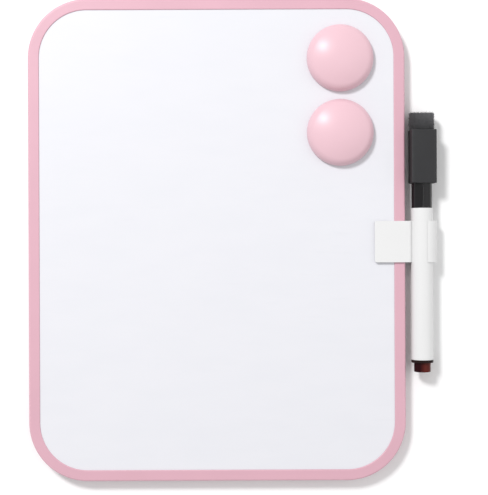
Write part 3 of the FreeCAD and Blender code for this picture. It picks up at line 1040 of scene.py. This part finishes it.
def make_felt(axis):
    """Felt pad: a turned round pad whose points are moved away from its root by a random ripple."""
    low, high = box_of("eraser_felt")
    radius = (high[Z] - low[Z]) / 2
    corners = [
        (0, low[Y], 0),
        (radius - felt_lump, low[Y], felt_root_round),
        (radius - felt_lump, high[Y] - felt_lump, felt_round),
        (0, high[Y] - felt_lump / 2, 0),
    ]
    profile = evenly(outline(corners, closed=False)[0], felt_point_gap)
    grid = turned(profile, columns=int(2 * np.pi * radius / felt_point_gap))
    points = placed(grid, (X, Z, Y), (axis[0], 0, axis[1]))
    middle = np.array([axis[0], low[Y], axis[1]])
    away = unit(points - middle + np.array([0, least_length, 0]))
    lumps = coarse_share * ripple(points, **felt_coarse) + fine_share * ripple(points, **felt_fine)
    free = np.clip((points[..., Y] - low[Y]) / felt_held_length, 0, 1)
    points += (felt_lump / 2 * free * lumps)[..., None] * away
    wear_felt(points, axis, low, high)
    pad = add_piece("felt_pad", points, grid_faces(grid), "felt", "cap", ["eraser_felt"])
    make_fuzz(axis, low, high, radius)


def make_fuzz(axis, low, high, radius):
    """Loose fibres on the felt: each a thin three-sided tube of three rings that bends over as it tapers.

    A root is drawn on the pad's side or its free end; ring k lies at root + length (k / 2) out
    + length (k / 2)^2 bend.
    """
    draw = np.random.default_rng(fuzz_seed)
    turn = draw.uniform(*np.radians(fuzz_turn), fuzz_count)
    on_end = draw.uniform(size=fuzz_count) < fuzz_on_end
    end_reach = (radius - felt_round) * np.sqrt(draw.uniform(size=fuzz_count))
    side_place = draw.uniform(low[Y] + fuzz_root_gap, high[Y] - felt_round, fuzz_count)
    reach = np.where(on_end, end_reach, radius - felt_lump)
    place = np.where(on_end, high[Y] - felt_lump, side_place)
    side = np.stack([np.cos(turn), np.zeros(fuzz_count), np.sin(turn)], axis=1)
    ahead = np.array([0, 1, 0])
    root = np.array([axis[0], 0, axis[1]]) + reach[:, None] * side + place[:, None] * ahead
    scatter = draw.normal(scale=fuzz_scatter, size=(fuzz_count, 3))
    out = unit(np.where(on_end[:, None], ahead, side) + scatter)
    bend = draw.normal(scale=fuzz_bend, size=(fuzz_count, 3))
    length = draw.uniform(*fuzz_length, fuzz_count)[:, None, None]
    step = np.linspace(0, 1, len(fuzz_taper))[:, None]
    line = root[:, None] + length * (step * out[:, None] + step ** 2 * bend[:, None])
    across = unit(np.cross(out, unit(bend)))
    other = np.cross(out, across)
    corner = np.radians([0, 120, 240])
    spokes = np.cos(corner)[:, None] * across[:, None] + np.sin(corner)[:, None] * other[:, None]
    thick = fuzz_thickness * np.array(fuzz_taper)[:, None, None]
    points = line[:, :, None] + thick * spokes[:, None]
    wear_felt(points, axis, low, high)
    quads = [[0, 1, 4, 3], [1, 2, 5, 4], [2, 0, 3, 5], [3, 4, 7, 6], [4, 5, 8, 7], [5, 3, 6, 8]]
    first = len(fuzz_taper) * len(corner) * np.arange(fuzz_count)[:, None, None]
    faces = (first + np.array(quads)).reshape(-1, 4).tolist()
    faces += (first + np.array([[2, 1, 0], [6, 7, 8]])).reshape(-1, 3).tolist()
    add_piece("felt_fuzz", points, faces, "felt", "cap", [])


def make_strip(place):
    """Hanging strip with shallow drawn ribs along its face, on foam tape whose sides bulge a little.

    Of the rib edges, two by turns lie on the face and two are sunk by the relief. A tape's side stands
    out by bulge (1 - b^2), where b runs from -1 at its lower edge to 1 at its upper one.
    """
    low, high = box_of("rear_strip_" + place)
    rib_edges = np.linspace(low[Y] + strip_margin, high[Y] - strip_margin, 2 * strip_ribs)
    sunk = np.isin(np.arange(len(rib_edges)) % 4, (1, 2))
    ribs = plain(np.column_stack([rib_edges, low[Z] + rib_relief * sunk]))
    corners = [(low[Y], low[Z], strip_ease), *ribs, (high[Y], low[Z], strip_ease),
               (high[Y], high[Z], strip_ease), (low[Y], high[Z], strip_ease)]
    section, worn = outline(corners, steps=4)
    grid, faces, edge = bar(section, worn, low[X], high[X], strip_ease, steps=3)
    add_piece("hanging_strip_" + place, placed(grid, (Y, Z, X)), faces, "strip", "board",
              ["rear_strip_" + place], edge)

    low, high = box_of("strip_tape_" + place)
    middle = (low[Z] + high[Z]) / 2
    half = (high[Z] - low[Z]) / 2
    bow = np.linspace(-1, 1, tape_bow_steps + 1)[1:-1]
    swell = tape_bulge * (1 - bow ** 2)
    corners = [(low[Y] + tape_bulge, low[Z], 0), (high[Y] - tape_bulge, low[Z], 0),
               *plain(np.column_stack([high[Y] - tape_bulge + swell, middle + half * bow])),
               (high[Y] - tape_bulge, high[Z], 0), (low[Y] + tape_bulge, high[Z], 0),
               *plain(np.column_stack([low[Y] + tape_bulge - swell, middle - half * bow]))]
    section, worn = outline(corners)
    grid, faces, edge = bar(section, worn, low[X], high[X], tape_bulge, steps=4)
    tape = add_piece("foam_tape_" + place, placed(grid, (Y, Z, X)), faces, "foam", "board",
                     ["strip_tape_" + place], edge)


def dress_solids():
    """Gives the flat layers of the panel, which keep their solids, their finishes."""
    layers = {"writing_sheet": "lacquer", "core_board": "core", "back_sheet": "liner"}
    for node, finish in layers.items():
        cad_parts[node].data.materials[0] = FINISHES[finish]


def add_softbox(name, aim, direction, distance, diameter, power):
    """Round soft light at a distance from its aim, in a direction from it, turned to face it."""
    lamp = bpy.data.lights.new(name, "AREA")
    lamp.shape = "DISK"
    lamp.size = diameter
    lamp.energy = power
    light = add_object(name, lamp)
    away = unit(np.array(direction))
    light.location = np.array(aim) + distance * away
    turn = np.linalg.norm(away[:2])
    light.rotation_euler = (np.arctan2(turn, away[2]), 0, np.arctan2(away[0], -away[1]))


def light_scene():
    """Even white surroundings and the softboxes.

    The key stands at the upper left, a wide weak one at the right, and a small one almost above the
    marker draws a line of light along its glossy cap.
    """
    world = bpy.data.worlds.new("surroundings")
    world.use_nodes = True
    sky = world.node_tree.nodes["Background"]
    sky.inputs["Color"].default_value = (1.0, 1.0, 1.0, 1.0)
    sky.inputs["Strength"].default_value = sky_strength
    scene = bpy.context.scene
    scene.world = world
    scene.view_settings.view_transform = "Standard"
    for name, softbox in softboxes.items():
        add_softbox(name, **softbox)


def add_floor():
    """Plain pale floor under the strips."""
    mesh = bpy.data.meshes.new("floor")
    corners = [(x * floor_half, y * floor_half, 0) for x, y in ((-1, -1), (1, -1), (1, 1), (-1, 1))]
    mesh.from_pydata(corners, [], [(0, 1, 2, 3)])
    floor = add_object("floor", mesh)
    finish = Finish("pale_floor")
    haze = finish.cloud(0.6, detail=1.0)
    grey, pale = (0.93, 0.93, 0.93), (0.95, 0.95, 0.95)
    tinted = finish.blend(haze, grey, pale)
    mesh.materials.append(finish.done(tinted, finish.span(haze, 0, 1, 0.7, 0.8)))


def add_camera():
    """Camera straight above the board, a little right of its middle, with the photograph's slight roll."""
    lens = bpy.data.cameras.new("camera")
    lens.sensor_width = sensor_width
    lens.lens = focal_length
    camera = add_object("camera", lens)
    camera.location = camera_place
    camera.rotation_euler = (0, 0, np.radians(camera_roll))
    bpy.context.scene.camera = camera


marker_axis = (sum(box_of("marker_barrel")) / 2)[[X, Z]]

make_frame()
for magnet in ("upper", "lower"):
    make_magnet(magnet)
make_clip(marker_axis)
make_marker(marker_axis)
make_cap(marker_axis)
make_felt(marker_axis)
for strip in ("upper", "middle", "lower"):
    make_strip(strip)
dress_solids()
light_scene()
add_floor()
add_camera()
